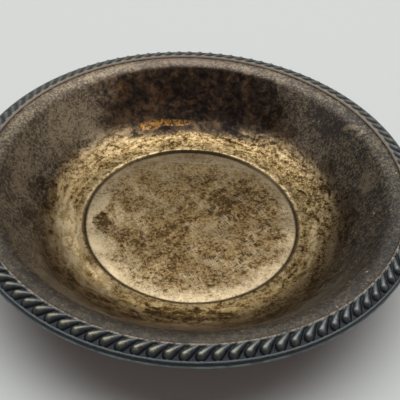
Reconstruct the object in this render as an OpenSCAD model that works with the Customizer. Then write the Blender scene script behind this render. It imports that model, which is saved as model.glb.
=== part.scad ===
// Small round coin dish: a pressed metal bowl with a sunk well and a falling brim, and a
// struck rope border soldered round the brim, over a plain wire that hides the cut edge.
// The origin is the centre of the dish's underside, on the table, with +Z up.

/* [Dish] */
// Outside diameter, over the edge wire
dish_d = 120; // [108:1:136]
// Height of the brim's top face above the table, at the rope border's inner edge
dish_h = 19.5; // [17:0.1:22.5]
// Thickness of the pressed sheet
sheet_t = 0.9; // [0.6:0.05:1.1]

/* [Well] */
// Diameter of the sunk disc, measured at the foot of its step
well_d = 59.4; // [50:0.2:64]
// Width of the step round the disc
step_w = 1.1; // [0.9:0.1:1.6]
// Height of the step round the disc
step_h = 0.7; // [0.4:0.05:0.9]
// Fillet at the foot of the step
step_fillet = 0.4; // [0.2:0.05:0.6]

/* [Wall] */
// Rise of the floor outside the well, in degrees
floor_slope = 4.5; // [1:0.5:8]
// Steepest slope of the wall, in degrees
wall_slope = 58; // [50:1:64]
// Radius of the curve from the floor up into the wall
wall_foot_r = 15; // [8:0.5:18]
// Radius of the curve from the wall out into the brim
wall_top_r = 4.2; // [2:0.2:4.8]

/* [Brim] */
// Width of the brim, from the corner of the wall to its cut edge
brim_w = 6.8; // [6.4:0.1:8.4]
// Fall of the brim towards its cut edge, in degrees
brim_fall = 17.5; // [6:0.5:24]

/* [Rope border] */
// Width of the strip, from its inner bead to its outer lip
strip_w = 4.5; // [4.4:0.05:5]
// Height of the strip's plain ground above the brim
strip_t = 0.6; // [0.5:0.05:0.7]
// Width of the bead along the strip's inner edge
bead_w = 0.8; // [0.6:0.05:0.9]
// Height of the bead above the brim
bead_h = 0.8; // [0.7:0.05:1.1]
// Width of the plain lip along the strip's outer edge
lip_w = 0.75; // [0.6:0.05:0.85]
// Height of the lip above the brim
lip_h = 0.9; // [0.8:0.05:1.2]
// Distance from one lobe to the next, along the rim
lobe_pitch = 3.37; // [3.3:0.01:3.8]
// Width of a lobe's round head, along the rim
lobe_w = 2.9; // [2.4:0.05:3]
// Height of a lobe's head above the strip's ground
lobe_h = 1.25; // [0.9:0.05:1.4]
// How far a lobe's tail is swept along the rim from its head
lobe_sweep = 2.2; // [1.4:0.1:2.6]
// Gap between the lobes and the bead, and between the lobes and the lip
lobe_gap = 0.12; // [0.05:0.01:0.2]

/* [Edge wire] */
// Width of the wire outside the brim's cut edge
wire_w = 0.8; // [0.6:0.05:1]
// Height of the wire's inner side, down from the strip's underside
wire_h = 1.4; // [1.1:0.05:1.8]

/* [Solder] */
// Thickness of the solder between the brim and the strip
solder_t = 0.15; // [0.1:0.01:0.25]
// How far the solder stops short of the strip's inner edge
solder_inset = 0.2; // [0.1:0.05:0.5]

/* [Hidden] */
$fn = 96;
arc_step = 5;              // degrees between two points of a curved outline
sheet_bend_spare = 0.3;    // least inside radius of a bend in the sheet
least_flat = 0.1;          // least straight length left between two bends
wire_edge_r = 0.5;         // rounding of the wire's lower edge
wire_top_r = 0.2;          // rounding of the wire's upper edge, which leaves a seam under the lip
bead_edge_r = 0.25;        // slanted edges of the bead
lip_edge_r = 0.15;         // slanted edges of the lip
seat_gap = 0.01;           // keeps the strip's flat facets clear of the round faces below

brim_edge_r = dish_d / 2 - wire_w;
lip_setback = 0.05;        // the lip stops this far short of the wire's outer face
strip_out = wire_w - lip_setback;
strip_in = strip_out - strip_w;
lobe_in = strip_in + bead_w + lobe_gap;
lobe_out = strip_out - lip_w - lobe_gap;
lobe_count = round(2 * PI * (brim_edge_r + (lobe_in + lobe_out) / 2) / lobe_pitch);

// Height of the brim's top face, at u out from its cut edge
function brim_top(u) = dish_h - (u - strip_in) * tan(brim_fall);
// The place at u out from the brim's cut edge and v above its top face, as [radius, height]
function on_brim(u, v) = [brim_edge_r + u, brim_top(u) + v];

// Corners of the dish's upper face, each as [radius, height]
step_slope = atan2(step_h, step_w);
well_corner = [well_d / 2, sheet_t];
step_corner = [well_d / 2 + step_w, sheet_t + step_h];
brim_corner = on_brim(-brim_w, 0);
foot_corner = lines_meet(step_corner, floor_slope, brim_corner, wall_slope);

// Bends are never larger than the straights beside them leave room for, and the brim stays
// straight under the strip
step_bend_r = sheet_t + sheet_bend_spare;
step_bend_run = step_bend_r * tan((step_slope - floor_slope) / 2);
foot_half = tan((wall_slope - floor_slope) / 2);
top_half = tan((wall_slope + brim_fall) / 2);
wall_length = norm(brim_corner - foot_corner);
mouth_length = (brim_w + strip_in) / cos(brim_fall);
top_bend_r = min(wall_top_r, 0.45 * wall_length / top_half, mouth_length / top_half);
foot_room = norm(foot_corner - step_corner) - step_bend_run - least_flat;
wall_room = wall_length - top_bend_r * top_half - least_flat;
foot_bend_r = min(wall_foot_r, foot_room / foot_half, wall_room / foot_half);

function unit(a) = [cos(a), sin(a)];

// The point where the line through p at angle a meets the line through q at angle b
function lines_meet(p, a, q, b) =
    let (d = q - p, along = (d[0] * sin(b) - d[1] * cos(b)) / sin(b - a))
    p + along * unit(a);

// A bend at corner p, from direction a to direction b, as a list of [point, direction]
function bend(p, a, b, r) =
    let (turn = sign(b - a),
         centre = p - r * tan(abs(b - a) / 2) * unit(a) + r * unit(a + 90 * turn),
         steps = ceil(abs(b - a) / arc_step))
    [for (i = [0 : steps])
        let (d = a + (b - a) * i / steps)
        [centre - r * unit(d + 90 * turn), d]];

// The dish's upper face, from its centre out to the brim's cut edge
upper_face = concat(
    [[[0, sheet_t], 0]],
    bend(well_corner, 0, step_slope, step_fillet),
    bend(step_corner, step_slope, floor_slope, step_bend_r),
    bend(foot_corner, floor_slope, wall_slope, foot_bend_r),
    bend(brim_corner, wall_slope, -brim_fall, top_bend_r),
    [[on_brim(0, 0), -brim_fall]]);

// The same face moved down through the sheet, square to the face
function moved(face, depth) = [for (f = face) f[0] - depth * unit(f[1] + 90)];
function reversed(list) = [for (i = [len(list) - 1 : -1 : 0]) list[i]];

// The border's plain rows, each as [distance out from the brim's edge, height above the brim]
bead_rows = [
    [strip_in, solder_t + seat_gap],
    [strip_in, bead_h - bead_edge_r],
    [strip_in + bead_edge_r, bead_h],
    [strip_in + bead_w - bead_edge_r, bead_h],
    [strip_in + bead_w, strip_t]];
lip_rows = [
    [strip_out - lip_w, strip_t],
    [strip_out - lip_w + lip_edge_r, lip_h],
    [strip_out - lip_edge_r, lip_h],
    [strip_out, lip_h - lip_edge_r],
    [strip_out, solder_t + seat_gap]];
plain_rows = concat(bead_rows, lip_rows);

// Stations along a lobe from its tail to its nose, each as shares of
// [the way out across the strip, the sweep along the rim, the head's width, the head's height]
lobe_stations = [
    [0, 1, 0.3, 0.25],
    [0.22, 0.72, 0.62, 0.55],
    [0.48, 0.38, 0.95, 0.88],
    [0.76, 0.06, 1, 1],
    [1, -0.1, 0.62, 0.45]];
// Places across a lobe, each as shares of [half its width, its height]
lobe_places = [[-0.72, 0.7], [0, 1], [0.72, 0.7]];

lobe_nose = len(lobe_stations) - 1;
station_size = len(lobe_places) + 1;
sector_size = len(plain_rows) + len(lobe_stations) * station_size;

// A point of the border in the sector of lobe k: t along the rim, u out from the brim's edge, v up
function on_rim(k, t, u, v) =
    let (a = 360 * k / lobe_count + t / brim_edge_r * 180 / PI, p = on_brim(u, v))
    [p[0] * cos(a), p[0] * sin(a), p[1]];

// The groove between two lobes, as [t, u] at a lobe's station
function groove(s) =
    [lobe_sweep * s[1] - lobe_pitch / 2, lobe_in + (lobe_out - lobe_in) * s[0]];

// All points of one sector: the plain rows, then each station's groove and its three places
function sector_points(k) = concat(
    [for (i = [0 : len(plain_rows) - 1])
        let (row = plain_rows[i], s = lobe_stations[i < len(bead_rows) ? 0 : lobe_nose])
        on_rim(k, groove(s)[0], row[0], row[1])],
    [for (s = lobe_stations)
        let (g = groove(s))
        each concat(
            [on_rim(k, g[0], g[1], strip_t)],
            [for (p = lobe_places)
                let (t = g[0] + lobe_pitch / 2 + p[0] * s[2] * lobe_w / 2)
                on_rim(k, t, g[1], strip_t + p[1] * s[3] * lobe_h)])]);

// Numbers of the points: a plain row's point, and place c of a lobe's station j
function plain(k, i) = (k % lobe_count) * sector_size + i;
function placed(k, j, c) =
    c == station_size
        ? placed(k + 1, j, 0)
        : (k % lobe_count) * sector_size + len(plain_rows) + j * station_size + c;

// The two triangles of a cell between an inner and an outer row
function cell(in_a, in_b, out_b, out_a) = [[in_a, in_b, out_b], [in_a, out_b, out_a]];

// The faces that join a plain row's two points to the places of a lobe's station
function tail_fan(k, i) = [
    [plain(k, i), placed(k, 0, 1), placed(k, 0, 0)],
    [plain(k, i), placed(k, 0, 2), placed(k, 0, 1)],
    [plain(k, i), plain(k + 1, i), placed(k, 0, 2)],
    [plain(k + 1, i), placed(k, 0, 3), placed(k, 0, 2)],
    [plain(k + 1, i), placed(k, 0, 4), placed(k, 0, 3)]];
function nose_fan(k, i) = [
    [placed(k, lobe_nose, 0), placed(k, lobe_nose, 1), plain(k, i)],
    [placed(k, lobe_nose, 1), placed(k, lobe_nose, 2), plain(k, i)],
    [placed(k, lobe_nose, 2), plain(k + 1, i), plain(k, i)],
    [placed(k, lobe_nose, 2), placed(k, lobe_nose, 3), plain(k + 1, i)],
    [placed(k, lobe_nose, 3), placed(k, lobe_nose, 4), plain(k + 1, i)]];

function sector_faces(k) = concat(
    [for (i = [0 : len(plain_rows) - 1])
        let (next = (i + 1) % len(plain_rows))
        if (i != len(bead_rows) - 1)
            each cell(plain(k, i), plain(k + 1, i), plain(k + 1, next), plain(k, next))],
    tail_fan(k, len(bead_rows) - 1),
    [for (j = [0 : lobe_nose - 1], c = [0 : station_size - 1])
        each cell(placed(k, j, c), placed(k, j, c + 1), placed(k, j + 1, c + 1), placed(k, j + 1, c))],
    nose_fan(k, len(bead_rows)));

// The pressed bowl: sunk well, step, floor, wall and brim, in one sheet with an upright cut edge
module dish_body() {
    cut_foot = on_brim(0, -sheet_t / cos(brim_fall));
    color([0.52, 0.43, 0.30])
        rotate_extrude()
            polygon(concat(moved(upper_face, 0), [cut_foot], reversed(moved(upper_face, sheet_t))));
}

// The struck border: inner bead, a rope of slanting lobes and a plain outer lip, in one strip
module rope_border() {
    color([0.36, 0.38, 0.38])
        polyhedron(
            points = [for (k = [0 : lobe_count - 1]) each sector_points(k)],
            faces = [for (k = [0 : lobe_count - 1]) each sector_faces(k)],
            convexity = 6);
}

// The thin bed of solder that holds the strip to the brim
module border_solder() {
    color([0.55, 0.55, 0.53])
        rotate_extrude()
            polygon([
                on_brim(strip_in + solder_inset, 0), on_brim(0, 0),
                on_brim(0, solder_t), on_brim(strip_in + solder_inset, solder_t)]);
}

// The plain wire under the lip, round the brim's cut edge
module edge_wire() {
    head = on_brim(0, solder_t);
    foot = head - [0, wire_h];
    low_centre = foot + [wire_w - wire_edge_r, wire_edge_r];
    high_centre = on_brim(wire_w - wire_top_r, solder_t - wire_top_r / cos(brim_fall));
    color([0.30, 0.33, 0.33])
        rotate_extrude()
            polygon(concat(
                [head, foot],
                [for (i = [0 : 6]) low_centre + wire_edge_r * unit(-90 + 15 * i)],
                [for (i = [0 : 6]) high_centre + wire_top_r * unit((90 - brim_fall) * i / 6)]));
}

dish_body();
rope_border();
border_solder();
edge_wire();
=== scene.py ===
import math
from types import SimpleNamespace

import bpy
import numpy as np
from mathutils import Matrix, Vector


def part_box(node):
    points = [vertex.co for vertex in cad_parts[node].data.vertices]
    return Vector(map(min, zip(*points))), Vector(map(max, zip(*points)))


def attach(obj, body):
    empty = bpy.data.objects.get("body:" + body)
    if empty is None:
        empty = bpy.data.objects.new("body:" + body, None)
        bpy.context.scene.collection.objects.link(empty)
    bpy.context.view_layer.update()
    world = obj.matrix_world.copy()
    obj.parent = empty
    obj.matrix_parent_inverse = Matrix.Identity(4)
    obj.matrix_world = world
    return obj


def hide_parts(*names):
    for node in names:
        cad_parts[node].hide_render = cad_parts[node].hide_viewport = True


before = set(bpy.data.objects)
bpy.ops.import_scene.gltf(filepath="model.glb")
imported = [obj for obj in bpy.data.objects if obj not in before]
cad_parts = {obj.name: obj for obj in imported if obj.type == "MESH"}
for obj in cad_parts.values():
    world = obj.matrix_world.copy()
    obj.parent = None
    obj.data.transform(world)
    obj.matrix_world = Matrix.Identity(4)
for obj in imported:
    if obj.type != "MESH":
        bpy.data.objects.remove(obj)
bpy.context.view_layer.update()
print("frame loaded")

mm = 0.001
onAxis = 1e-6       # a radius below this counts as on the axis, in metres
anyHeight = 1000    # stretches a mapping so far upwards that the height doesn't count


# camera, placed by the perspective of the rim and of the sunk disc

cameraSettings = {
    "place": (0.0, -0.1395, 0.1397),
    "forward": (0.0109, 0.7287, -0.6847),
    "up": (-0.0514, 0.6843, 0.7274),
    "lens": 62.25,
    "sensor": 36.0,
    "clipStart": 0.01,
}


def addCamera(s):
    data = bpy.data.cameras.new("camera")
    data.lens = s["lens"]
    data.sensor_width = s["sensor"]
    data.clip_start = s["clipStart"]
    camera = bpy.data.objects.new("camera", data)
    bpy.context.scene.collection.objects.link(camera)
    back = -Vector(s["forward"]).normalized()
    right = Vector(s["up"]).cross(back).normalized()
    up = back.cross(right)
    turn = Matrix((right, up, back)).transposed().to_4x4()
    camera.matrix_world = Matrix.Translation(s["place"]) @ turn
    bpy.context.scene.camera = camera


addCamera(cameraSettings)
print("camera set")


# outlines and turned meshes

def along(angle):
    return np.array([math.cos(angle), math.sin(angle)])


def linesMeet(p, a, q, b):
    d = q - p
    run = (d[0] * math.sin(b) - d[1] * math.cos(b)) / math.sin(b - a)
    return p + run * along(a)


def bend(corner, a, b, radius, step):
    # points and directions of a round bend between two straight runs
    turn = 1 if b > a else -1
    square = turn * math.pi / 2
    centre = corner - radius * math.tan(abs(b - a) / 2) * along(a) + radius * along(a + square)
    count = max(2, math.ceil(abs(b - a) * radius / step))
    angles = [a + (b - a) * i / count for i in range(count + 1)]
    return [(centre - radius * along(d + square), d) for d in angles]


def fillStraights(line, step):
    # adds points along the straight stretches, so that the mesh has even rings
    full = [line[0]]
    for before, after in zip(line, line[1:]):
        count = math.ceil(np.linalg.norm(after[0] - before[0]) / step)
        for i in range(1, count):
            share = i / count
            full.append((before[0] * (1 - share) + after[0] * share, before[1]))
        full.append(after)
    return full


def meshObject(name, points, faces):
    mesh = bpy.data.meshes.new(name)
    mesh.from_pydata(points, [], faces)
    mesh.polygons.foreach_set("use_smooth", [True] * len(mesh.polygons))
    mesh.update()
    piece = bpy.data.objects.new(name, mesh)
    bpy.context.scene.collection.objects.link(piece)
    return piece


def gridFaces(rows, columns, closedRows):
    # quads of a grid whose columns close round the axis
    faces = []
    for i in range(rows if closedRows else rows - 1):
        a = i * columns
        b = (i + 1) % rows * columns
        for k in range(columns):
            n = (k + 1) % columns
            faces.append((a + k, a + n, b + n, b + k))
    return faces


def turned(name, outline, columns, closed):
    # outline points are (radius, height); a point on the axis ends it in a fan
    outline = np.array(outline)
    startsOnAxis = outline[0][0] < onAxis
    endsOnAxis = outline[-1][0] < onAxis
    rings = outline[(1 if startsOnAxis else 0):(-1 if endsOnAxis else None)]
    angles = np.arange(columns) * 2 * math.pi / columns
    x = rings[:, :1] * np.cos(angles)
    y = rings[:, :1] * np.sin(angles)
    z = np.repeat(rings[:, 1:], columns, axis=1)
    points = np.stack([x, y, z], axis=2).reshape(-1, 3).tolist()
    faces = gridFaces(len(rings), columns, closed)
    if startsOnAxis:
        points.append((0, 0, outline[0][1]))
        faces += [(len(points) - 1, (k + 1) % columns, k) for k in range(columns)]
    if endsOnAxis:
        last = (len(rings) - 1) * columns
        points.append((0, 0, outline[-1][1]))
        faces += [(len(points) - 1, last + k, last + (k + 1) % columns) for k in range(columns)]
    return meshObject(name, points, faces)


# dish, pressed in one sheet

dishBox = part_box("dish_body")
dish = {
    "sheet": 0.9 * mm,
    "edgeRadius": dishBox[1].x,
    "brimHeight": 19.5 * mm,    # where the rope border begins
    "brimFall": math.radians(17.5),
    "stripReach": 3.75 * mm,    # from the border's inner edge to the brim's cut edge
    "wellRadius": 29.7 * mm,
    "stepWidth": 1.1 * mm,
    "stepHeight": 0.7 * mm,
    "stepFoot": 0.4 * mm,
    "stepTop": 1.2 * mm,
    "floorSlope": math.radians(4.5),
    "wallSlope": math.radians(58),
    "wallFoot": 15 * mm,
    "wallTop": 4.2 * mm,
    "brimWidth": 6.8 * mm,
    "edgeRounding": 0.1 * mm,
    "bendStep": 0.25 * mm,      # between two points of a bend, less at the step and more at the wall
    "ringStep": 0.8 * mm,
    "columns": 512,
    "sink": 0.18 * mm,          # how far the edge of the middle disc curves down to its groove
    "sinkFrom": 25.0 * mm,
}
dishWear = {                    # slight unevenness of the inside, from use
    "height": 0.06 * mm,
    "length": 15 * mm,
    "spread": (0.6, 1.8),       # shortest and longest wave, as shares of the length
    "count": 14,
    "seed": 5,
    "clear": 5 * mm,            # it ends this far in from the brim's cut edge
    "fade": 4 * mm,             # and dies out over this much
}


def onBrim(u, v):
    # radius and height of the place at u out from the brim's cut edge and v above its top face
    height = dish["brimHeight"] - (u + dish["stripReach"]) * math.tan(dish["brimFall"])
    return np.array([dish["edgeRadius"] + u, height + v])


def dishOutline(s):
    stepSlope = math.atan2(s["stepHeight"], s["stepWidth"])
    well = np.array([s["wellRadius"], s["sheet"]])
    step = well + np.array([s["stepWidth"], s["stepHeight"]])
    brim = onBrim(-s["brimWidth"], 0)
    foot = linesMeet(step, s["floorSlope"], brim, s["wallSlope"])
    fine = s["bendStep"]
    line = [(np.array([0.0, s["sheet"]]), 0.0)]
    line += bend(well, 0.0, stepSlope, s["stepFoot"], fine / 4)
    line += bend(step, stepSlope, s["floorSlope"], s["stepTop"], fine / 3)
    line += bend(foot, s["floorSlope"], s["wallSlope"], s["wallFoot"], fine * 2)
    line += bend(brim, s["wallSlope"], -s["brimFall"], s["wallTop"], fine)
    line += [(onBrim(0, 0), -s["brimFall"])]
    return fillStraights(line, s["ringStep"])


def waves(x, y, s):
    # smooth unevenness of about -1 to 1, from crossing ripples
    rng = np.random.default_rng(s["seed"])
    total = np.zeros_like(x)
    for _ in range(s["count"]):
        angle, phase = rng.uniform(0, 2 * math.pi, 2)
        size = s["length"] * rng.uniform(*s["spread"])
        total += np.sin((x * math.cos(angle) + y * math.sin(angle)) * 2 * math.pi / size + phase)
    return total / math.sqrt(s["count"])


def makeDish(s, wear):
    upper = dishOutline(s)
    rounding = s["edgeRounding"]
    top = [p for p, _ in upper]
    under = [p - s["sheet"] * along(a + math.pi / 2) for p, a in upper]
    depth = -s["sheet"] / math.cos(s["brimFall"])
    top[-1] = onBrim(-rounding, 0)
    under[-1] = onBrim(-rounding, depth)
    cut = [onBrim(0, -rounding), onBrim(0, depth + rounding)]
    outline = top + cut + under[::-1]
    piece = turned("dish", outline, s["columns"], closed=False)
    co = np.zeros(len(piece.data.vertices) * 3)
    piece.data.vertices.foreach_get("co", co)
    co = co.reshape(-1, 3)
    inside = np.zeros(len(co))
    inside[:(len(top) - 1) * s["columns"]] = 1
    inside[-2] = 1      # the middle point of the upper side
    radius = np.hypot(co[:, 0], co[:, 1])
    fade = np.clip((s["edgeRadius"] - wear["clear"] - radius) / wear["fade"], 0, 1)
    co[:, 2] += inside * fade * wear["height"] * waves(co[:, 0], co[:, 1], wear)
    well = s["wellRadius"]
    bow = np.interp(radius, [s["sinkFrom"], well, well + s["stepWidth"]], [0, 1, 0])
    co[:, 2] -= inside * s["sink"] * bow ** 2
    piece.data.vertices.foreach_set("co", co.ravel())
    piece.data.update()
    layer = piece.data.attributes.new("inside", "FLOAT", "POINT")
    layer.data.foreach_set("value", inside)
    return piece


dishPiece = makeDish(dish, dishWear)
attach(dishPiece, "root")
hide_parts("dish_body")
print("dish made")


# rope border, struck as one strip

border = {
    "count": 108,
    "inset": 1.4 * mm,          # the lobes are spaced on a circle this far in from the brim's cut edge
    "base": 0.16 * mm,          # heights above the brim's top face
    "ground": 0.55 * mm,
    "inner": -dish["stripReach"],               # distances out from the brim's cut edge
    "outer": 0.75 * mm,
    "beadWidth": 0.8 * mm,
    "beadTop": 0.8 * mm,
    "beadPower": 2.2,           # 2 is round, more is squarer
    "lipWidth": 0.72 * mm,
    "lipTop": 0.9 * mm,
    "lipPower": 4,
    "lipShine": 0.52,           # how bright the lip is painted, against the bead and the crests: worn metal with a painted highlight
    "underShine": 0.3,          # the same for the strip's lower edge
    "headOut": -1.05 * mm,
    "headReach": 1.14 * mm,     # half the width of the head at its foot
    "headHeight": 1.10 * mm,
    "tailOut": -2.95 * mm,
    "tailReach": 0.62 * mm,
    "tailHeight": 0.42 * mm,
    "tailSweep": 2.6 * mm,
    "roundness": 0.8,           # 0.5 is half round, 1 is softer
    "curl": 0.12 * mm,          # how far the lobe's back bows out
    "taper": 1.2,               # more than 1 keeps the lobe full for longer towards its tail
    "tailDull": 0.35,           # how much less bright the tail is painted than the head: worn metal and painted highlight
    "lobeSteps": 24,            # from head to tail
    "neighbours": 2,            # lobes on either side that can reach into a lobe's share of the strip
    "columns": 22,              # for one lobe
    "acrossStep": 0.11 * mm,
}


def bump(d, halfWidth, power):
    # a rounded ridge of height 1 over the distance d from its middle
    share = np.clip(1 - np.abs(d / halfWidth) ** power, 0, 1)
    return np.sqrt(share)


def lobeHeight(u, t, s, pitch):
    # height of the drop-shaped lobes over the ground, at u out from the brim's edge and t along it,
    # and how near the place is to the lobe's crest
    best = np.zeros(np.broadcast(u, t).shape)
    crest = np.zeros_like(best)
    for shift in range(-s["neighbours"], s["neighbours"] + 1):
        place = t - shift * pitch
        for i in range(s["lobeSteps"] + 1):
            f = i / s["lobeSteps"]
            narrowing = f ** s["taper"]
            centreU = s["headOut"] + (s["tailOut"] - s["headOut"]) * f
            centreT = s["tailSweep"] * f - s["curl"] * math.sin(math.pi * f)
            reach = s["headReach"] + (s["tailReach"] - s["headReach"]) * narrowing
            height = s["headHeight"] + (s["tailHeight"] - s["headHeight"]) * narrowing
            share = 1 - ((u - centreU) ** 2 + (place - centreT) ** 2) / reach ** 2
            share = np.maximum(share, 0) ** s["roundness"]
            crest = np.where(height * share > best, share * (1 - s["tailDull"] * f), crest)
            best = np.maximum(best, height * share)
    return best, crest


def makeBorder(s):
    pitch = 2 * math.pi * (dish["edgeRadius"] - s["inset"]) / s["count"]
    count = math.ceil((s["outer"] - s["inner"]) / s["acrossStep"])
    u = np.linspace(s["inner"], s["outer"], count + 1)
    t = np.arange(s["columns"]) * pitch / s["columns"]
    grid, crest = lobeHeight(u[:, None], t[None, :], s, pitch)
    onBead = u < s["inner"] + s["beadWidth"]
    bead = bump(u - s["inner"] - s["beadWidth"] / 2, s["beadWidth"] / 2, s["beadPower"])
    lip = bump(u - s["outer"] + s["lipWidth"] / 2, s["lipWidth"] / 2, s["lipPower"])
    floor = np.where(u < s["inner"] + s["beadWidth"] / 2, s["base"], s["ground"])
    beadRise = floor + (s["beadTop"] - floor) * bead
    lipRise = s["ground"] + (s["lipTop"] - s["ground"]) * lip
    plain = np.where(onBead, beadRise, lipRise)[:, None]
    rise = np.maximum(np.where(grid > 0, s["ground"] + grid, 0), plain)
    # the bead, the lip and the crests are painted lighter: worn metal and painted highlight
    rails = np.where(onBead, bead, s["lipShine"] * lip)
    wearAndShine = np.clip(np.maximum(crest, rails[:, None]), 0, 1)
    # the lower edge closes the strip underneath
    u = np.append(u, u[-1])
    rise = np.vstack([rise, np.full((1, s["columns"]), s["base"])])
    wearAndShine = np.vstack([wearAndShine, np.full((1, s["columns"]), s["underShine"])])
    radius, height = onBrim(u, 0)
    height = np.tile(height[:, None] + rise, (1, s["count"]))
    wearAndShine = np.tile(wearAndShine, (1, s["count"]))
    columns = s["columns"] * s["count"]
    angles = np.arange(columns) * 2 * math.pi / columns
    x, y = radius[:, None] * np.cos(angles), radius[:, None] * np.sin(angles)
    points = np.stack([x, y, height], axis=2).reshape(-1, 3)
    piece = meshObject("border", points.tolist(), gridFaces(len(height), columns, True))
    layer = piece.data.attributes.new("wearAndShine", "FLOAT", "POINT")
    layer.data.foreach_set("value", wearAndShine.ravel())
    return piece


borderPiece = makeBorder(border)
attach(borderPiece, "root")
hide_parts("rope_border")
print("border made")


# edge wire under the lip

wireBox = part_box("edge_wire")
wire = {
    "width": 0.8 * mm,
    "low": wireBox[0].z,
    "top": 0.15 * mm,           # above the brim's top face
    "lowRounding": 0.5 * mm,
    "highRounding": 0.2 * mm,
    "steps": 10,
    "columns": 720,
}


def corner(centre, radius, start, end, steps):
    angles = [math.radians(start + (end - start) * i / steps) for i in range(steps + 1)]
    return [centre + radius * along(angle) for angle in angles]


def makeWire(s):
    low, high = s["lowRounding"], s["highRounding"]
    fall = dish["brimFall"]
    head = onBrim(0, s["top"])
    lowCentre = np.array([head[0] + s["width"] - low, s["low"] + low])
    highCentre = onBrim(s["width"] - high, s["top"] - high / math.cos(fall))
    outline = [head, np.array([head[0], s["low"]])]
    outline += corner(lowCentre, low, -90, 0, s["steps"])
    outline += corner(highCentre, high, 0, 90 - math.degrees(fall), s["steps"])
    return turned("wire", outline[::-1], s["columns"], closed=True)


wirePiece = makeWire(wire)
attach(wirePiece, "root")
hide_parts("edge_wire")
print("wire made")


# material building blocks

def newTree(name):
    material = bpy.data.materials.new(name)
    material.use_nodes = True
    tree = material.node_tree
    tree.nodes.clear()
    return material, tree


def add(tree, kind, inputs=None, **properties):
    node = tree.nodes.new("ShaderNode" + kind)
    for key, value in properties.items():
        setattr(node, key, value)
    for key, value in (inputs or {}).items():
        socket = node.inputs[key]
        if isinstance(value, bpy.types.NodeSocket):
            tree.links.new(value, socket)
        else:
            socket.default_value = value
    return node


def calc(tree, operation, a, b=0.0, c=0.0, clamp=False):
    return add(tree, "Math", {0: a, 1: b, 2: c}, operation=operation, use_clamp=clamp).outputs[0]


def remap(tree, value, low, high, newLow=0.0, newHigh=1.0):
    inputs = {"Value": value, "From Min": low, "From Max": high, "To Min": newLow, "To Max": newHigh}
    return add(tree, "MapRange", inputs, interpolation_type="SMOOTHSTEP").outputs[0]


def noise(tree, place, scale, detail=3.0, roughness=0.6, distortion=0.0):
    return add(tree, "TexNoise", {
        "Vector": place, "Scale": scale, "Detail": detail, "Roughness": roughness,
        "Distortion": distortion}).outputs["Fac"]


def swing(tree, place, **settings):
    # noise about 0
    return calc(tree, "SUBTRACT", noise(tree, place, **settings), 0.5)


def weighted(tree, m, weights, start):
    # start plus the named noises, each times its weight
    for name, weight in weights.items():
        start = calc(tree, "MULTIPLY_ADD", getattr(m, name), weight, start)
    return start


def scaled(tree, vector, amount):
    return add(tree, "VectorMath", {0: vector, "Scale": amount}, operation="SCALE").outputs[0]


def blend(tree, share, first, second, mode="MIX"):
    node = tree.nodes.new("ShaderNodeMix")
    node.data_type = "RGBA"
    node.blend_type = mode
    node.clamp_result = False
    for index, value in ((0, share), (6, first), (7, second)):
        if isinstance(value, bpy.types.NodeSocket):
            tree.links.new(value, node.inputs[index])
        elif index == 0:
            node.inputs[index].default_value = value
        else:
            node.inputs[index].default_value = (*value, 1)
    return node.outputs[2]


def ramp(tree, value, stops):
    node = add(tree, "ValToRGB", {0: value})
    elements = node.color_ramp.elements
    while len(elements) < len(stops):
        elements.new(0.5)
    for element, (place, colour) in zip(elements, stops):
        element.position = place
        element.color = (*colour, 1)
    return node.outputs[0]


def millimetres(tree):
    return scaled(tree, add(tree, "TexCoord").outputs["Object"], 1 / mm)


def radiusOf(tree, place):
    # the distance from the axis, the direction from it, and x and y
    split = add(tree, "SeparateXYZ", {0: place})
    flat = add(tree, "CombineXYZ", {0: split.outputs[0], 1: split.outputs[1]}).outputs[0]
    radius = add(tree, "VectorMath", {0: flat}, operation="LENGTH").outputs["Value"]
    direction = add(tree, "VectorMath", {0: flat}, operation="NORMALIZE").outputs[0]
    return radius, direction, split


def turnShare(tree, split):
    # the way round the axis: 0 at the left, 0.25 at the front, 0.5 at the right, 0.75 at the back
    angle = calc(tree, "ARCTAN2", split.outputs[1], split.outputs[0])
    return calc(tree, "MULTIPLY_ADD", angle, 0.5 / math.pi, 0.5)


def levels(tree, value, stops):
    return ramp(tree, value, [(place, (level, level, level)) for place, level in stops])


def finishTree(tree, shader):
    output = tree.nodes.new("ShaderNodeOutputMaterial")
    tree.links.new(shader.outputs[0], output.inputs[0])


# tarnished metal of the dish, places in mm from the middle

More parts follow.
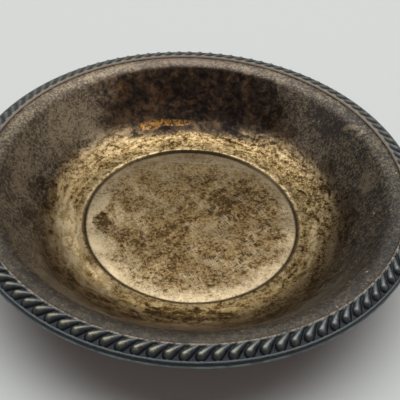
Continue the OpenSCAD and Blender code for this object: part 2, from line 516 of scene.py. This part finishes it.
dishFinish = {
    "reach": 60.0,              # radius where the ramps end
    "noises": {                 # scales for each mm
        "fine": {"scale": 2.5, "detail": 3.0, "roughness": 0.7},
        "speck": {"scale": 1.15, "detail": 4.0, "roughness": 0.7},
        "blot": {"scale": 0.5, "detail": 4.0, "roughness": 0.65, "distortion": 0.4},
        "cloud": {"scale": 0.13, "detail": 4.0, "roughness": 0.6, "distortion": 0.5},
    },
    "smear": {                  # marks that run round the dish, from wiping and from the press
        "along": 9.0, "across": 1.0, "drift": 5.0,
        "noise": {"scale": 1.0, "detail": 4.0, "roughness": 0.6, "distortion": 0.3},
    },
    "floorFrom": (30.0, 32.5),  # radii between which the disc's finish gives way to the floor's
    "ragged": 1.4,              # raggedness of the patches' edges
    "crust": [                  # deepest tarnish, from the middle out
        (0.00, (0.048, 0.028, 0.010)),
        (0.66, (0.045, 0.027, 0.012)),
        (0.80, (0.040, 0.028, 0.018)),
    ],
    "brown": [
        (0.00, (0.145, 0.090, 0.036)),
        (0.46, (0.160, 0.102, 0.044)),
        (0.54, (0.140, 0.086, 0.028)),
        (0.66, (0.135, 0.084, 0.035)),
        (0.76, (0.150, 0.104, 0.062)),
    ],
    "bare": [                   # lightly tarnished silver plate
        (0.00, (0.225, 0.160, 0.076)),
        (0.38, (0.235, 0.170, 0.088)),
        (0.48, (0.290, 0.225, 0.142)),
        (0.56, (0.420, 0.292, 0.132)),
        (0.66, (0.360, 0.255, 0.130)),
        (0.76, (0.270, 0.190, 0.120)),
    ],
    "pale": [                   # wiped patches
        (0.00, (0.350, 0.280, 0.175)),
        (0.48, (0.370, 0.295, 0.185)),
        (0.56, (0.680, 0.520, 0.300)),
        (0.66, (0.540, 0.430, 0.285)),
        (0.76, (0.400, 0.320, 0.240)),
    ],
    "steps": {                  # where each of them begins and is full, as the cover rises
        "brown": (-0.05, 0.28),
        "bare": (0.25, 0.75),
        "pale": (0.80, 1.25),
    },
    "cover": [                  # how much of the tarnish is worn off, from the middle out
        (0.00, 0.27),
        (0.38, 0.34),
        (0.455, 0.66),
        (0.475, 0.90),
        (0.495, 0.95),
        (0.515, 0.58),
        (0.66, 0.52),
        (0.74, 0.48),
        (1.00, 0.42),
    ],
    "coverNoise": {"cloud": 0.8},
    "coverBlot": (2.2, 1.3),    # on the disc and outside it
    "coverSmear": {"disc": 0.3, "more": 2.0},
    "grains": {"fine": 1.8, "speck": 2.6},
    "grainShare": [             # all round, for the floor and the wall's foot
        (0.00, 0.45),
        (0.25, 0.36),
        (0.50, 1.00),
        (0.75, 1.00),
        (0.90, 0.80),
        (1.00, 0.45),
    ],
    "paintedShade": [                   # painted shade on the floor and the wall's foot, all round: darker at the left and right sides
        (0.00, 0.50),
        (0.25, 0.84),
        (0.42, 0.46),
        (0.55, 0.46),
        (0.66, 0.78),
        (0.75, 0.84),
        (0.84, 0.84),
        (0.93, 0.56),
    ],
    "patches": [                # x, y, half length, half width, turn, change of cover
        (-26.0, 4.5, 4.5, 1.6, 70.0, 0.60),
        (-23.5, -11.0, 4.2, 2.8, -35.0, 0.52),
        (-25.3, -2.6, 2.4, 3.8, 10.0, -0.60),
        (-20.6, 1.5, 1.3, 4.5, 12.0, 0.50),
        (-2.0, 25.8, 13.0, 1.3, 0.0, 0.25),
        (-3.0, 22.0, 12.0, 1.5, 4.0, 0.12),
        (13.0, 9.0, 9.0, 7.0, 30.0, -0.16),
        (20.0, -9.0, 5.0, 9.0, -30.0, -0.10),
        (22.5, 4.0, 4.0, 9.0, 10.0, -0.14),
        (-33.5, -8.0, 3.0, 13.0, 14.0, 0.40),
        (-25.0, -24.0, 3.0, 9.0, 46.0, 0.26),
        (0.0, -34.5, 11.0, 2.2, 0.0, -0.36),
        (-6.0, -41.5, 20.0, 3.2, 0.0, 0.80),
        (-42.5, 8.0, 3.5, 9.0, 8.0, -0.30),
        (33.5, -8.0, 1.0, 9.0, -12.0, 0.45),
        (38.0, -12.0, 1.0, 9.0, -16.0, 0.30),
    ],
    "islands": {                # small ragged brown spots
        "scale": 0.72, "edge": (0.05, -0.07),
        "warp": 1.1, "warpNoise": {"Scale": 1.6, "Detail": 2.0, "Roughness": 0.6},
        "growth": 0.60, "coverShare": -0.42, "cloudShare": 0.5,
        "colour": (0.26, 0.21, 0.16), "strength": 0.6,
    },
    "scratches": {
        "runs": [(-58.0, 0.035, 3.0), (35.0, 0.03, 9.0)],       # turn, width, seed
        "stretch": (9.0, 0.7), "edge": 0.3,
        "noise": {"scale": 1.0, "detail": 2.0, "roughness": 0.5, "distortion": 0.2},
        "gateNoise": {"scale": 0.16, "detail": 2.0}, "gate": (0.48, 0.62),
        "within": (28.5, 26.0), "strength": 0.7,
    },
    "matt": {                   # speckled tarnish of the upper wall and the brim
        "from": 40.0, "to": 47.0, "drift": {"cloud": 9.0}, "shift": -7.0,
        "grain": {"fine": 2.8, "speck": 3.4, "blot": 1.0, "cloud": 0.9, "smear": 0.9},
        "share": 0.40, "edge": (0.05, 1.05), "brimFrom": (50.0, 52.0),
    },
    "mattShift": [              # how far further out it begins, all round
        (0.62, 0.0),
        (0.69, 1.0),
        (0.81, 1.0),
        (0.87, 0.0),
    ],
    "paleSpeck": [              # all round
        (0.00, (0.270, 0.205, 0.130)),
        (0.12, (0.210, 0.160, 0.102)),
        (0.25, (0.200, 0.155, 0.100)),
        (0.42, (0.120, 0.100, 0.072)),
        (0.55, (0.215, 0.172, 0.112)),
        (0.68, (0.370, 0.295, 0.200)),
        (0.76, (0.330, 0.250, 0.175)),
        (0.88, (0.490, 0.385, 0.250)),
        (1.00, (0.270, 0.205, 0.130)),
    ],
    "darkSpeck": [
        (0.00, (0.056, 0.042, 0.030)),
        (0.12, (0.056, 0.042, 0.028)),
        (0.25, (0.068, 0.050, 0.032)),
        (0.42, (0.026, 0.022, 0.018)),
        (0.55, (0.032, 0.027, 0.026)),
        (0.68, (0.092, 0.074, 0.062)),
        (0.76, (0.165, 0.126, 0.108)),
        (0.88, (0.125, 0.096, 0.070)),
        (1.00, (0.056, 0.042, 0.030)),
    ],
    "lighter": [                # patches of it: x, y, half length, half width, turn, change
        (48.4, 4.5, 1.8, 3.2, 10.0, 0.50),
        (45.2, 24.2, 2.4, 0.6, -30.0, 0.90),
        (47.4, 20.6, 0.9, 0.6, 0.0, 0.90),
        (-37.0, 26.0, 9.0, 5.0, 52.0, 0.30),
        (-26.5, 33.0, 6.0, 4.0, 38.0, 0.25),
        (-47.0, 4.0, 2.0, 8.0, 4.0, 0.25),
        (41.0, 30.0, 3.0, 9.0, 48.0, -0.25),
    ],
    "brimShade": [               # painted shade of the brim, all round: darkest at the front
        (0.00, 0.76),
        (0.08, 0.50),
        (0.14, 0.42),
        (0.25, 0.37),
        (0.38, 0.72),
        (0.50, 0.90),
        (0.65, 1.00),
        (0.88, 0.95),
        (1.00, 0.75),
    ],
    "dots": {                   # small cream spots
        "scale": 0.75, "size": 0.34, "edge": (-0.06, -0.14), "gate": (-0.05, 0.1),
        "colour": (0.36, 0.31, 0.22),
        "strength": [           # all round
            (0.00, 0.35),
            (0.25, 0.10),
            (0.40, 0.80),
            (0.50, 1.00),
            (0.75, 1.00),
            (1.00, 0.35),
        ]},
    "roomReflection": {                  # painted reflection of the dark room on the glossy wall at the back
        "patch": (-2.5, 43.5, 26.5, 14.0, 0.0), "soft": 0.4,
        "top": (51.9, 51.1), "foot": (36.4, 39.0), "footRagged": {"blot": 6.0},
        "deep": (38.9, 44.9), "deepest": 0.3,                   # painted shade, darker towards the foot
        "noise": {"cloud": 2.0, "blot": 2.6, "smear": 0.8}, "level": 0.42, "across": -0.009,
        "colours": [
            (0.00, (0.040, 0.031, 0.028)),
            (0.35, (0.090, 0.067, 0.052)),
            (0.60, (0.165, 0.112, 0.072)),
            (1.00, (0.360, 0.230, 0.140)),
        ],
        "glints": [             # painted orange reflections: x, y, half length, half width, turn, strength
            (-14.0, 38.6, 4.4, 1.3, 24.0, 0.90),
            (-6.3, 40.4, 4.6, 0.8, 6.0, 0.80),
            (-23.6, 43.2, 1.8, 1.0, 25.0, 0.7),
            (-12.0, 45.5, 4.0, 1.0, 12.0, 0.25),
        ],
        "glintGate": (-0.08, 0.13), "glintColour": (0.52, 0.25, 0.06)},
    "groove": {                 # dark dirt in the step round the middle disc, with painted shade, weakest at the front
        "inner": (29.2, 29.6), "outer": (30.5, 30.05), "lean": -0.3, "ragged": {"blot": 0.5},
        "colour": (0.045, 0.031, 0.015),
        "strength": [           # all round
            (0.00, 0.68),
            (0.12, 0.60),
            (0.25, 0.20),
            (0.38, 0.55),
            (0.50, 0.70),
            (0.75, 0.80),
            (1.00, 0.68),
        ]},
    "roughness": {"tarnish": 0.40, "bare": -0.10, "islands": 0.10, "matt": 0.5},
    "metallic": {"bright": 1.0, "matt": 0.4},
    "relief": {"Strength": 0.5, "Distance": 0.00008},
    "reliefShare": {"from": 30.0, "to": 33.0, "disc": 0.5, "floor": 1.5, "fine": 0.5},
}


def dishMarks(tree, s):
    # the places and noises that all layers of the finish share
    m = SimpleNamespace()
    m.place = millimetres(tree)
    m.radius, m.direction, m.split = radiusOf(tree, m.place)
    m.inside = add(tree, "Attribute", attribute_name="inside").outputs["Fac"]
    m.share = calc(tree, "DIVIDE", m.radius, s["reach"])
    m.around = turnShare(tree, m.split)
    for name, settings in s["noises"].items():
        setattr(m, name, swing(tree, m.place, **settings))
    smear = s["smear"]
    wide = add(tree, "SeparateXYZ", {0: scaled(tree, m.direction, smear["along"])})
    drift = calc(tree, "MULTIPLY", m.radius, smear["across"])
    drift = weighted(tree, m, {"cloud": smear["drift"]}, drift)
    rings = add(tree, "CombineXYZ", {0: wide.outputs[0], 1: wide.outputs[1], 2: drift}).outputs[0]
    m.smear = swing(tree, rings, **smear["noise"])
    m.onFloor = remap(tree, m.radius, *s["floorFrom"])      # 0 on the middle disc, 1 outside it
    m.wobble = calc(tree, "MULTIPLY", m.blot, s["ragged"])
    return m


def patchMask(tree, m, x, y, halfLength, halfWidth, turn, soft=0.2, edge=1.05):
    # 1 inside a blot with a ragged edge, 0 outside
    local = add(tree, "Mapping", {
        "Vector": m.place, "Location": (x, y, 0), "Rotation": (0, 0, math.radians(turn)),
        "Scale": (halfLength, halfWidth, anyHeight)}, vector_type="TEXTURE").outputs[0]
    reach = add(tree, "VectorMath", {0: local}, operation="LENGTH").outputs["Value"]
    return remap(tree, calc(tree, "ADD", reach, m.wobble), edge + soft, edge - soft)


def patched(tree, m, level, patches):
    for *spot, change in patches:
        level = calc(tree, "MULTIPLY_ADD", patchMask(tree, m, *spot), change, level)
    return level


def cellSpots(tree, place, scale, size, edge):
    # spots of uneven size with clear ground between them: 1 inside, 0 outside
    cells = add(tree, "TexVoronoi", {"Vector": place, "Scale": scale})
    chance = add(tree, "SeparateColor", {0: cells.outputs["Color"]}).outputs[0]
    reach = calc(tree, "MULTIPLY", chance, size)
    return remap(tree, calc(tree, "SUBTRACT", cells.outputs["Distance"], reach), *edge)


def islands(tree, m, s, cover):
    warp = add(tree, "TexNoise", {"Vector": m.place, **s["warpNoise"]}).outputs["Color"]
    warp = add(tree, "VectorMath", {0: warp, 1: (0.5, 0.5, 0.5)}, operation="SUBTRACT").outputs[0]
    shift = {0: m.place, 1: scaled(tree, warp, s["warp"])}
    place = add(tree, "VectorMath", shift, operation="ADD").outputs[0]
    growth = calc(tree, "MULTIPLY_ADD", cover, s["coverShare"], s["growth"])
    growth = calc(tree, "MULTIPLY_ADD", m.cloud, s["cloudShare"], growth, clamp=True)
    return cellSpots(tree, place, s["scale"], growth, s["edge"])


def scratchRun(tree, m, s, turn, width, seed):
    # long thin lines, all about one way
    line = add(tree, "Mapping", {
        "Vector": m.place, "Location": (seed, seed, 0), "Rotation": (0, 0, math.radians(turn)),
        "Scale": (*s["stretch"], anyHeight)}, vector_type="TEXTURE").outputs[0]
    near = calc(tree, "ABSOLUTE", swing(tree, line, **s["noise"]))
    gate = remap(tree, noise(tree, m.place, **s["gateNoise"]), *s["gate"])
    return calc(tree, "MULTIPLY", remap(tree, near, width, width * s["edge"]), gate)


def plateColour(tree, m, s):
    # the disc, the floor and the wall's foot
    cover = patched(tree, m, levels(tree, m.share, s["cover"]), s["patches"])
    cover = weighted(tree, m, s["coverNoise"], cover)
    cover = weighted(tree, m, {"blot": remap(tree, m.onFloor, 0.0, 1.0, *s["coverBlot"])}, cover)
    smear = s["coverSmear"]
    smear = calc(tree, "MULTIPLY_ADD", m.onFloor, smear["more"], smear["disc"])
    cover = weighted(tree, m, {"smear": smear}, cover)
    grainShare = remap(tree, m.onFloor, 0.0, 1.0, 1.0, levels(tree, m.around, s["grainShare"]))
    level = calc(tree, "MULTIPLY_ADD", weighted(tree, m, s["grains"], 0.0), grainShare, cover)

    colour = ramp(tree, m.share, s["crust"])
    steps = {name: remap(tree, level, *s["steps"][name]) for name in ("brown", "bare", "pale")}
    for name, step in steps.items():
        colour = blend(tree, step, colour, ramp(tree, m.share, s[name]))
    m.bare = steps["bare"]
    brown = s["islands"]
    m.spots = islands(tree, m, brown, cover)
    spotted = blend(tree, 1.0, colour, brown["colour"], "MULTIPLY")
    colour = blend(tree, calc(tree, "MULTIPLY", m.spots, brown["strength"]), colour, spotted)
    marks = s["scratches"]
    first, second = (scratchRun(tree, m, marks, *run) for run in marks["runs"])
    lines = calc(tree, "MULTIPLY", calc(tree, "MAXIMUM", first, second),
                 remap(tree, m.radius, *marks["within"]))
    colour = blend(tree, calc(tree, "MULTIPLY", lines, marks["strength"]), colour, s["pale"][0][1])
    # painted shade all round on the floor and the wall's foot
    shaded = blend(tree, 1.0, colour, levels(tree, m.around, s["paintedShade"]), "MULTIPLY")
    return blend(tree, m.onFloor, colour, shaded)


def mattTarnish(tree, m, s, colour):
    # the upper wall and the brim
    matt = s["matt"]
    begin = calc(tree, "MULTIPLY_ADD", levels(tree, m.around, s["mattShift"]), matt["shift"], m.radius)
    begin = weighted(tree, m, matt["drift"], begin)
    m.upper = remap(tree, begin, matt["from"], matt["to"])
    level = weighted(tree, m, matt["grain"], matt["share"])
    level = patched(tree, m, level, s["lighter"])
    speckled = blend(tree, remap(tree, level, *matt["edge"]), ramp(tree, m.around, s["darkSpeck"]),
                     ramp(tree, m.around, s["paleSpeck"]))
    overBrim = remap(tree, m.radius, *matt["brimFrom"])
    # painted shade of the brim, by the way round, darkest at the front
    paintedShade = remap(tree, overBrim, 0.0, 1.0, 1.0, levels(tree, m.around, s["brimShade"]))
    colour = blend(tree, m.upper, colour, scaled(tree, speckled, paintedShade))
    dots = s["dots"]
    dot = cellSpots(tree, m.place, dots["scale"], dots["size"], dots["edge"])
    dot = calc(tree, "MULTIPLY", dot, remap(tree, calc(tree, "ADD", m.cloud, m.blot), *dots["gate"]))
    dot = calc(tree, "MULTIPLY", dot, levels(tree, m.around, dots["strength"]))
    return blend(tree, calc(tree, "MULTIPLY", dot, m.upper), colour, dots["colour"])


# the wall at the back painted dark as a reflection of the dark room, with painted orange glints
def paintRoomReflection(tree, m, s, colour):
    stain = patchMask(tree, m, *s["patch"], s["soft"])
    stain = calc(tree, "MULTIPLY", stain, remap(tree, m.radius, *s["top"]))
    low = weighted(tree, m, s["footRagged"], m.radius)
    stain = calc(tree, "MULTIPLY", stain, remap(tree, low, *s["foot"]))
    m.stain = calc(tree, "MULTIPLY", stain, m.inside)
    reflectionLevel = weighted(tree, m, s["noise"], s["level"])
    reflectionLevel = calc(tree, "MULTIPLY_ADD", m.split.outputs[0], s["across"], reflectionLevel)
    shade = remap(tree, m.radius, *s["deep"], s["deepest"], 1.0)
    colour = blend(tree, m.stain, colour, scaled(tree, ramp(tree, reflectionLevel, s["colours"]), shade))
    # painted orange reflections on the back wall, broken up by the speck noise
    for *spot, strength in s["glints"]:
        gate = remap(tree, m.speck, *s["glintGate"], 0.0, strength)
        reflectionSpot = calc(tree, "MULTIPLY", patchMask(tree, m, *spot), gate)
        colour = blend(tree, calc(tree, "MULTIPLY", reflectionSpot, m.inside), colour, s["glintColour"])
    return colour


# dark dirt in the step round the disc plus painted shade, leaning to the back
def paintGrooveDirtAndShade(tree, m, s, colour):
    edge = weighted(tree, m, s["ragged"], m.radius)
    lean = add(tree, "SeparateXYZ", {0: m.direction}).outputs[1]
    far = calc(tree, "MULTIPLY_ADD", lean, s["lean"], edge)
    groove = calc(tree, "MULTIPLY", remap(tree, edge, *s["inner"]), remap(tree, far, *s["outer"]))
    groove = calc(tree, "MULTIPLY", groove, m.inside)
    groove = calc(tree, "MULTIPLY", groove, levels(tree, m.around, s["strength"]))
    return blend(tree, groove, colour, s["colour"])


def dishMaterial(s):
    material, tree = newTree("dish_metal")
    m = dishMarks(tree, s)
    colour = plateColour(tree, m, s)
    colour = mattTarnish(tree, m, s, colour)
    colour = paintRoomReflection(tree, m, s["roomReflection"], colour)
    colour = paintGrooveDirtAndShade(tree, m, s["groove"], colour)

    dull = calc(tree, "MULTIPLY", m.upper, calc(tree, "SUBTRACT", 1.0, m.stain))
    roughness = s["roughness"]
    rough = calc(tree, "MULTIPLY_ADD", m.bare, roughness["bare"], roughness["tarnish"])
    rough = calc(tree, "MULTIPLY_ADD", m.spots, roughness["islands"], rough)
    rough = remap(tree, dull, 0.0, 1.0, rough, roughness["matt"])
    metallic = remap(tree, dull, 0.0, 1.0, s["metallic"]["bright"], s["metallic"]["matt"])
    share = s["reliefShare"]
    grain = weighted(tree, m, {"fine": share["fine"]}, m.speck)
    grain = calc(tree, "MULTIPLY", grain, remap(
        tree, m.radius, share["from"], share["to"], share["disc"], share["floor"]))
    relief = add(tree, "Bump", {**s["relief"], "Height": grain})
    shader = add(tree, "BsdfPrincipled", {
        "Base Color": colour, "Roughness": rough, "Normal": relief.outputs[0], "Metallic": metallic})
    finishTree(tree, shader)
    return material


dishPiece.data.materials.append(dishMaterial(dishFinish))
print("dish finished")


# blue-grey tarnish of the border and the wire

borderFinish = {
    "noises": {                 # scales for each mm
        "cloud": {"scale": 0.8, "detail": 4.0, "roughness": 0.65},
        "fine": {"scale": 2.4, "detail": 3.0, "roughness": 0.65},
    },
    "uneven": {"cloud": 0.7, "fine": 0.5},
    "backFrom": (-0.15, 0.5),   # how far round the front's colours give way to the back's; the front's darker hollows and brighter crests are painted shade and highlight
    # deep is the hollows' colour: tarnish with painted shade, darker at the front
    "front": {"deep": (0.020, 0.023, 0.028), "flank": (0.088, 0.100, 0.104)},
    "back": {"deep": (0.068, 0.071, 0.066), "flank": (0.096, 0.101, 0.093)},
    "flankFrom": (0.1, 0.7),    # from the grooves up to the crests
    "topFrom": (0.66, 1.0),
    "top": [                    # crests, all round: worn bright metal with a painted highlight, brightest at the front
        (0.00, (0.20, 0.180, 0.160)),
        (0.08, (0.22, 0.190, 0.165)),
        (0.17, (0.25, 0.234, 0.175)),
        (0.25, (0.27, 0.256, 0.190)),
        (0.33, (0.20, 0.210, 0.212)),
        (0.45, (0.17, 0.178, 0.190)),
        (0.60, (0.18, 0.180, 0.165)),
        (0.75, (0.15, 0.152, 0.138)),
    ],
    "bead": {
        "width": 0.78, "edge": 0.15, "beadColour": (-0.10, 0.08), "footFrom": (0.35, 0.95),
        "pale": (0.235, 0.205, 0.17), "dark": (0.085, 0.072, 0.062),
        # backFootLift is painted light, lifting the shadow line under the bead at the back
        "back": (0.24, 0.205, 0.165), "backFootLift": (0.80, 0.70, 0.58),
    },
    "roughness": (0.38, 0.52), "roughFrom": (-0.15, 0.15), "backRougher": 0.20,
    "metallic": {"front": 0.75, "back": 0.3, "bead": 0.1},
    "relief": {"Strength": 0.4, "Distance": 0.0001},
}


def borderMaterial(s):
    material, tree = newTree("border_metal")
    m = SimpleNamespace()
    m.place = millimetres(tree)
    m.radius, m.direction, m.split = radiusOf(tree, m.place)
    for name, settings in s["noises"].items():
        setattr(m, name, swing(tree, m.place, **settings))
    lean = add(tree, "SeparateXYZ", {0: m.direction}).outputs[1]
    # the attribute is 1 on the crests and rails: worn metal with painted highlight there, tarnish with
    # painted shade in the hollows
    wearAndShine = add(tree, "Attribute", attribute_name="wearAndShine").outputs["Fac"]
    level = weighted(tree, m, s["uneven"], wearAndShine)
    back = remap(tree, lean, *s["backFrom"])
    deep = blend(tree, back, s["front"]["deep"], s["back"]["deep"])
    flank = blend(tree, back, s["front"]["flank"], s["back"]["flank"])
    top = ramp(tree, turnShare(tree, m.split), s["top"])
    colour = blend(tree, remap(tree, level, *s["flankFrom"]), deep, flank)
    colour = blend(tree, remap(tree, level, *s["topFrom"]), colour, top)

    bead = s["bead"]
    beadColour = blend(tree, remap(tree, m.cloud, *bead["beadColour"]), bead["dark"], bead["pale"])
    # painted light at the bead's foot at the back, lifting its shadow line
    behind = blend(tree, remap(tree, wearAndShine, *bead["footFrom"]), bead["backFootLift"], bead["back"])
    beadColour = blend(tree, back, beadColour, behind)
    end = (dish["edgeRadius"] + border["inner"]) / mm + bead["width"]
    onBead = remap(tree, m.radius, end, end - bead["edge"])
    colour = blend(tree, onBead, colour, beadColour)

    metal = s["metallic"]
    metallic = remap(tree, back, 0.0, 1.0, metal["front"], metal["back"])
    metallic = remap(tree, calc(tree, "MULTIPLY", onBead, back), 0.0, 1.0, metallic, metal["bead"])
    rough = remap(tree, m.cloud, *s["roughFrom"], *s["roughness"])
    rough = calc(tree, "MULTIPLY_ADD", back, s["backRougher"], rough)
    relief = add(tree, "Bump", {**s["relief"], "Height": m.fine})
    shader = add(tree, "BsdfPrincipled", {
        "Base Color": colour, "Roughness": rough, "Normal": relief.outputs[0], "Metallic": metallic})
    finishTree(tree, shader)
    return material


borderPiece.data.materials.append(borderMaterial(borderFinish))

wireFinish = {
    "clean": (0.17, 0.21, 0.21),
    "stained": (0.085, 0.096, 0.100),
    "stains": {"scale": 0.35, "detail": 4.0},
    "stainEdge": (0.35, 0.65),
    "roughness": 0.4,
    "metallic": 0.8,
}
solderFinish = {
    "clean": (0.33, 0.33, 0.32),
    "stained": (0.14, 0.13, 0.12),
    "stains": {"scale": 0.6, "detail": 4.0},
    "stainEdge": (0.3, 0.7),
    "roughness": 0.55,
    "metallic": 0.9,
}


def stainedMetal(name, s):
    material, tree = newTree(name)
    clean = remap(tree, noise(tree, millimetres(tree), **s["stains"]), *s["stainEdge"])
    colour = blend(tree, clean, s["stained"], s["clean"])
    shader = add(tree, "BsdfPrincipled", {
        "Base Color": colour, "Roughness": s["roughness"], "Metallic": s["metallic"]})
    finishTree(tree, shader)
    return material


wirePiece.data.materials.append(stainedMetal("wire_metal", wireFinish))

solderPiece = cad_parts["border_solder"]
solderPiece.data.materials.clear()
solderPiece.data.materials.append(stainedMetal("solder", solderFinish))
print("border, wire and solder finished")


# table, light and view

stage = {
    "size": 6.0,                        # metres
    "colour": (0.645, 0.673, 0.670),
    "roughness": 0.6,
    "lift": (0.017, 0.012, 0.012),      # faint glow of the table in the shadow, which lights nothing
}


def makeFloor(s):
    half = s["size"] / 2
    points = [(-half, -half, 0), (half, -half, 0), (half, half, 0), (-half, half, 0)]
    floor = meshObject("floor", points, [(0, 1, 2, 3)])
    material, tree = newTree("table_top")
    rays = add(tree, "LightPath").outputs
    straight = calc(tree, "MAXIMUM", rays["Is Camera Ray"], rays["Is Glossy Ray"])
    straight = calc(tree, "MAXIMUM", straight, rays["Is Transmission Ray"])
    shader = add(tree, "BsdfPrincipled", {
        "Base Color": (*s["colour"], 1), "Roughness": s["roughness"],
        "Emission Color": (*s["lift"], 1), "Emission Strength": straight})
    finishTree(tree, shader)
    floor.data.materials.append(material)


makeFloor(stage)

lighting = {
    "window": {
        "place": (0.0, 0.31, 1.055),
        "size": (2.10, 0.95),
        "power": 15.8,
        "colour": (0.99, 1.0, 0.98),
    },
    "glowTowards": (0.0, 0.68, 0.73),
    "glow": [                   # from the far side of the room to the wall below the window
        (0.00, (0.17, 0.140, 0.136)),
        (0.60, (0.15, 0.130, 0.126)),
        (0.78, (0.10, 0.092, 0.09)),
        (0.88, (0.24, 0.235, 0.23)),
        (0.95, (0.42, 0.42, 0.41)),
        (1.00, (0.50, 0.50, 0.49)),
    ],
}


def addWindow(name, s):
    data = bpy.data.lights.new(name, "AREA")
    data.shape = "RECTANGLE"
    data.size, data.size_y = s["size"]
    data.energy = s["power"]
    data.color = s["colour"]
    light = bpy.data.objects.new(name, data)
    bpy.context.scene.collection.objects.link(light)
    light.location = s["place"]
    light.rotation_euler = (-Vector(s["place"])).to_track_quat("-Z", "Y").to_euler()


def makeSky(s):
    world = bpy.data.worlds.new("room")
    bpy.context.scene.world = world
    world.use_nodes = True
    tree = world.node_tree
    tree.nodes.clear()
    place = add(tree, "TexCoord").outputs["Generated"]
    facing = add(tree, "VectorMath", {0: place, 1: s["glowTowards"]}, operation="DOT_PRODUCT")
    share = calc(tree, "MULTIPLY_ADD", facing.outputs["Value"], 0.5, 0.5)       # from -1..1 to 0..1
    glow = add(tree, "Background", {"Color": ramp(tree, share, s["glow"]), "Strength": 1.0})
    output = tree.nodes.new("ShaderNodeOutputWorld")
    tree.links.new(glow.outputs[0], output.inputs[0])


addWindow("window", lighting["window"])
makeSky(lighting)
bpy.context.scene.view_settings.view_transform = "Standard"
print("stage and light set")
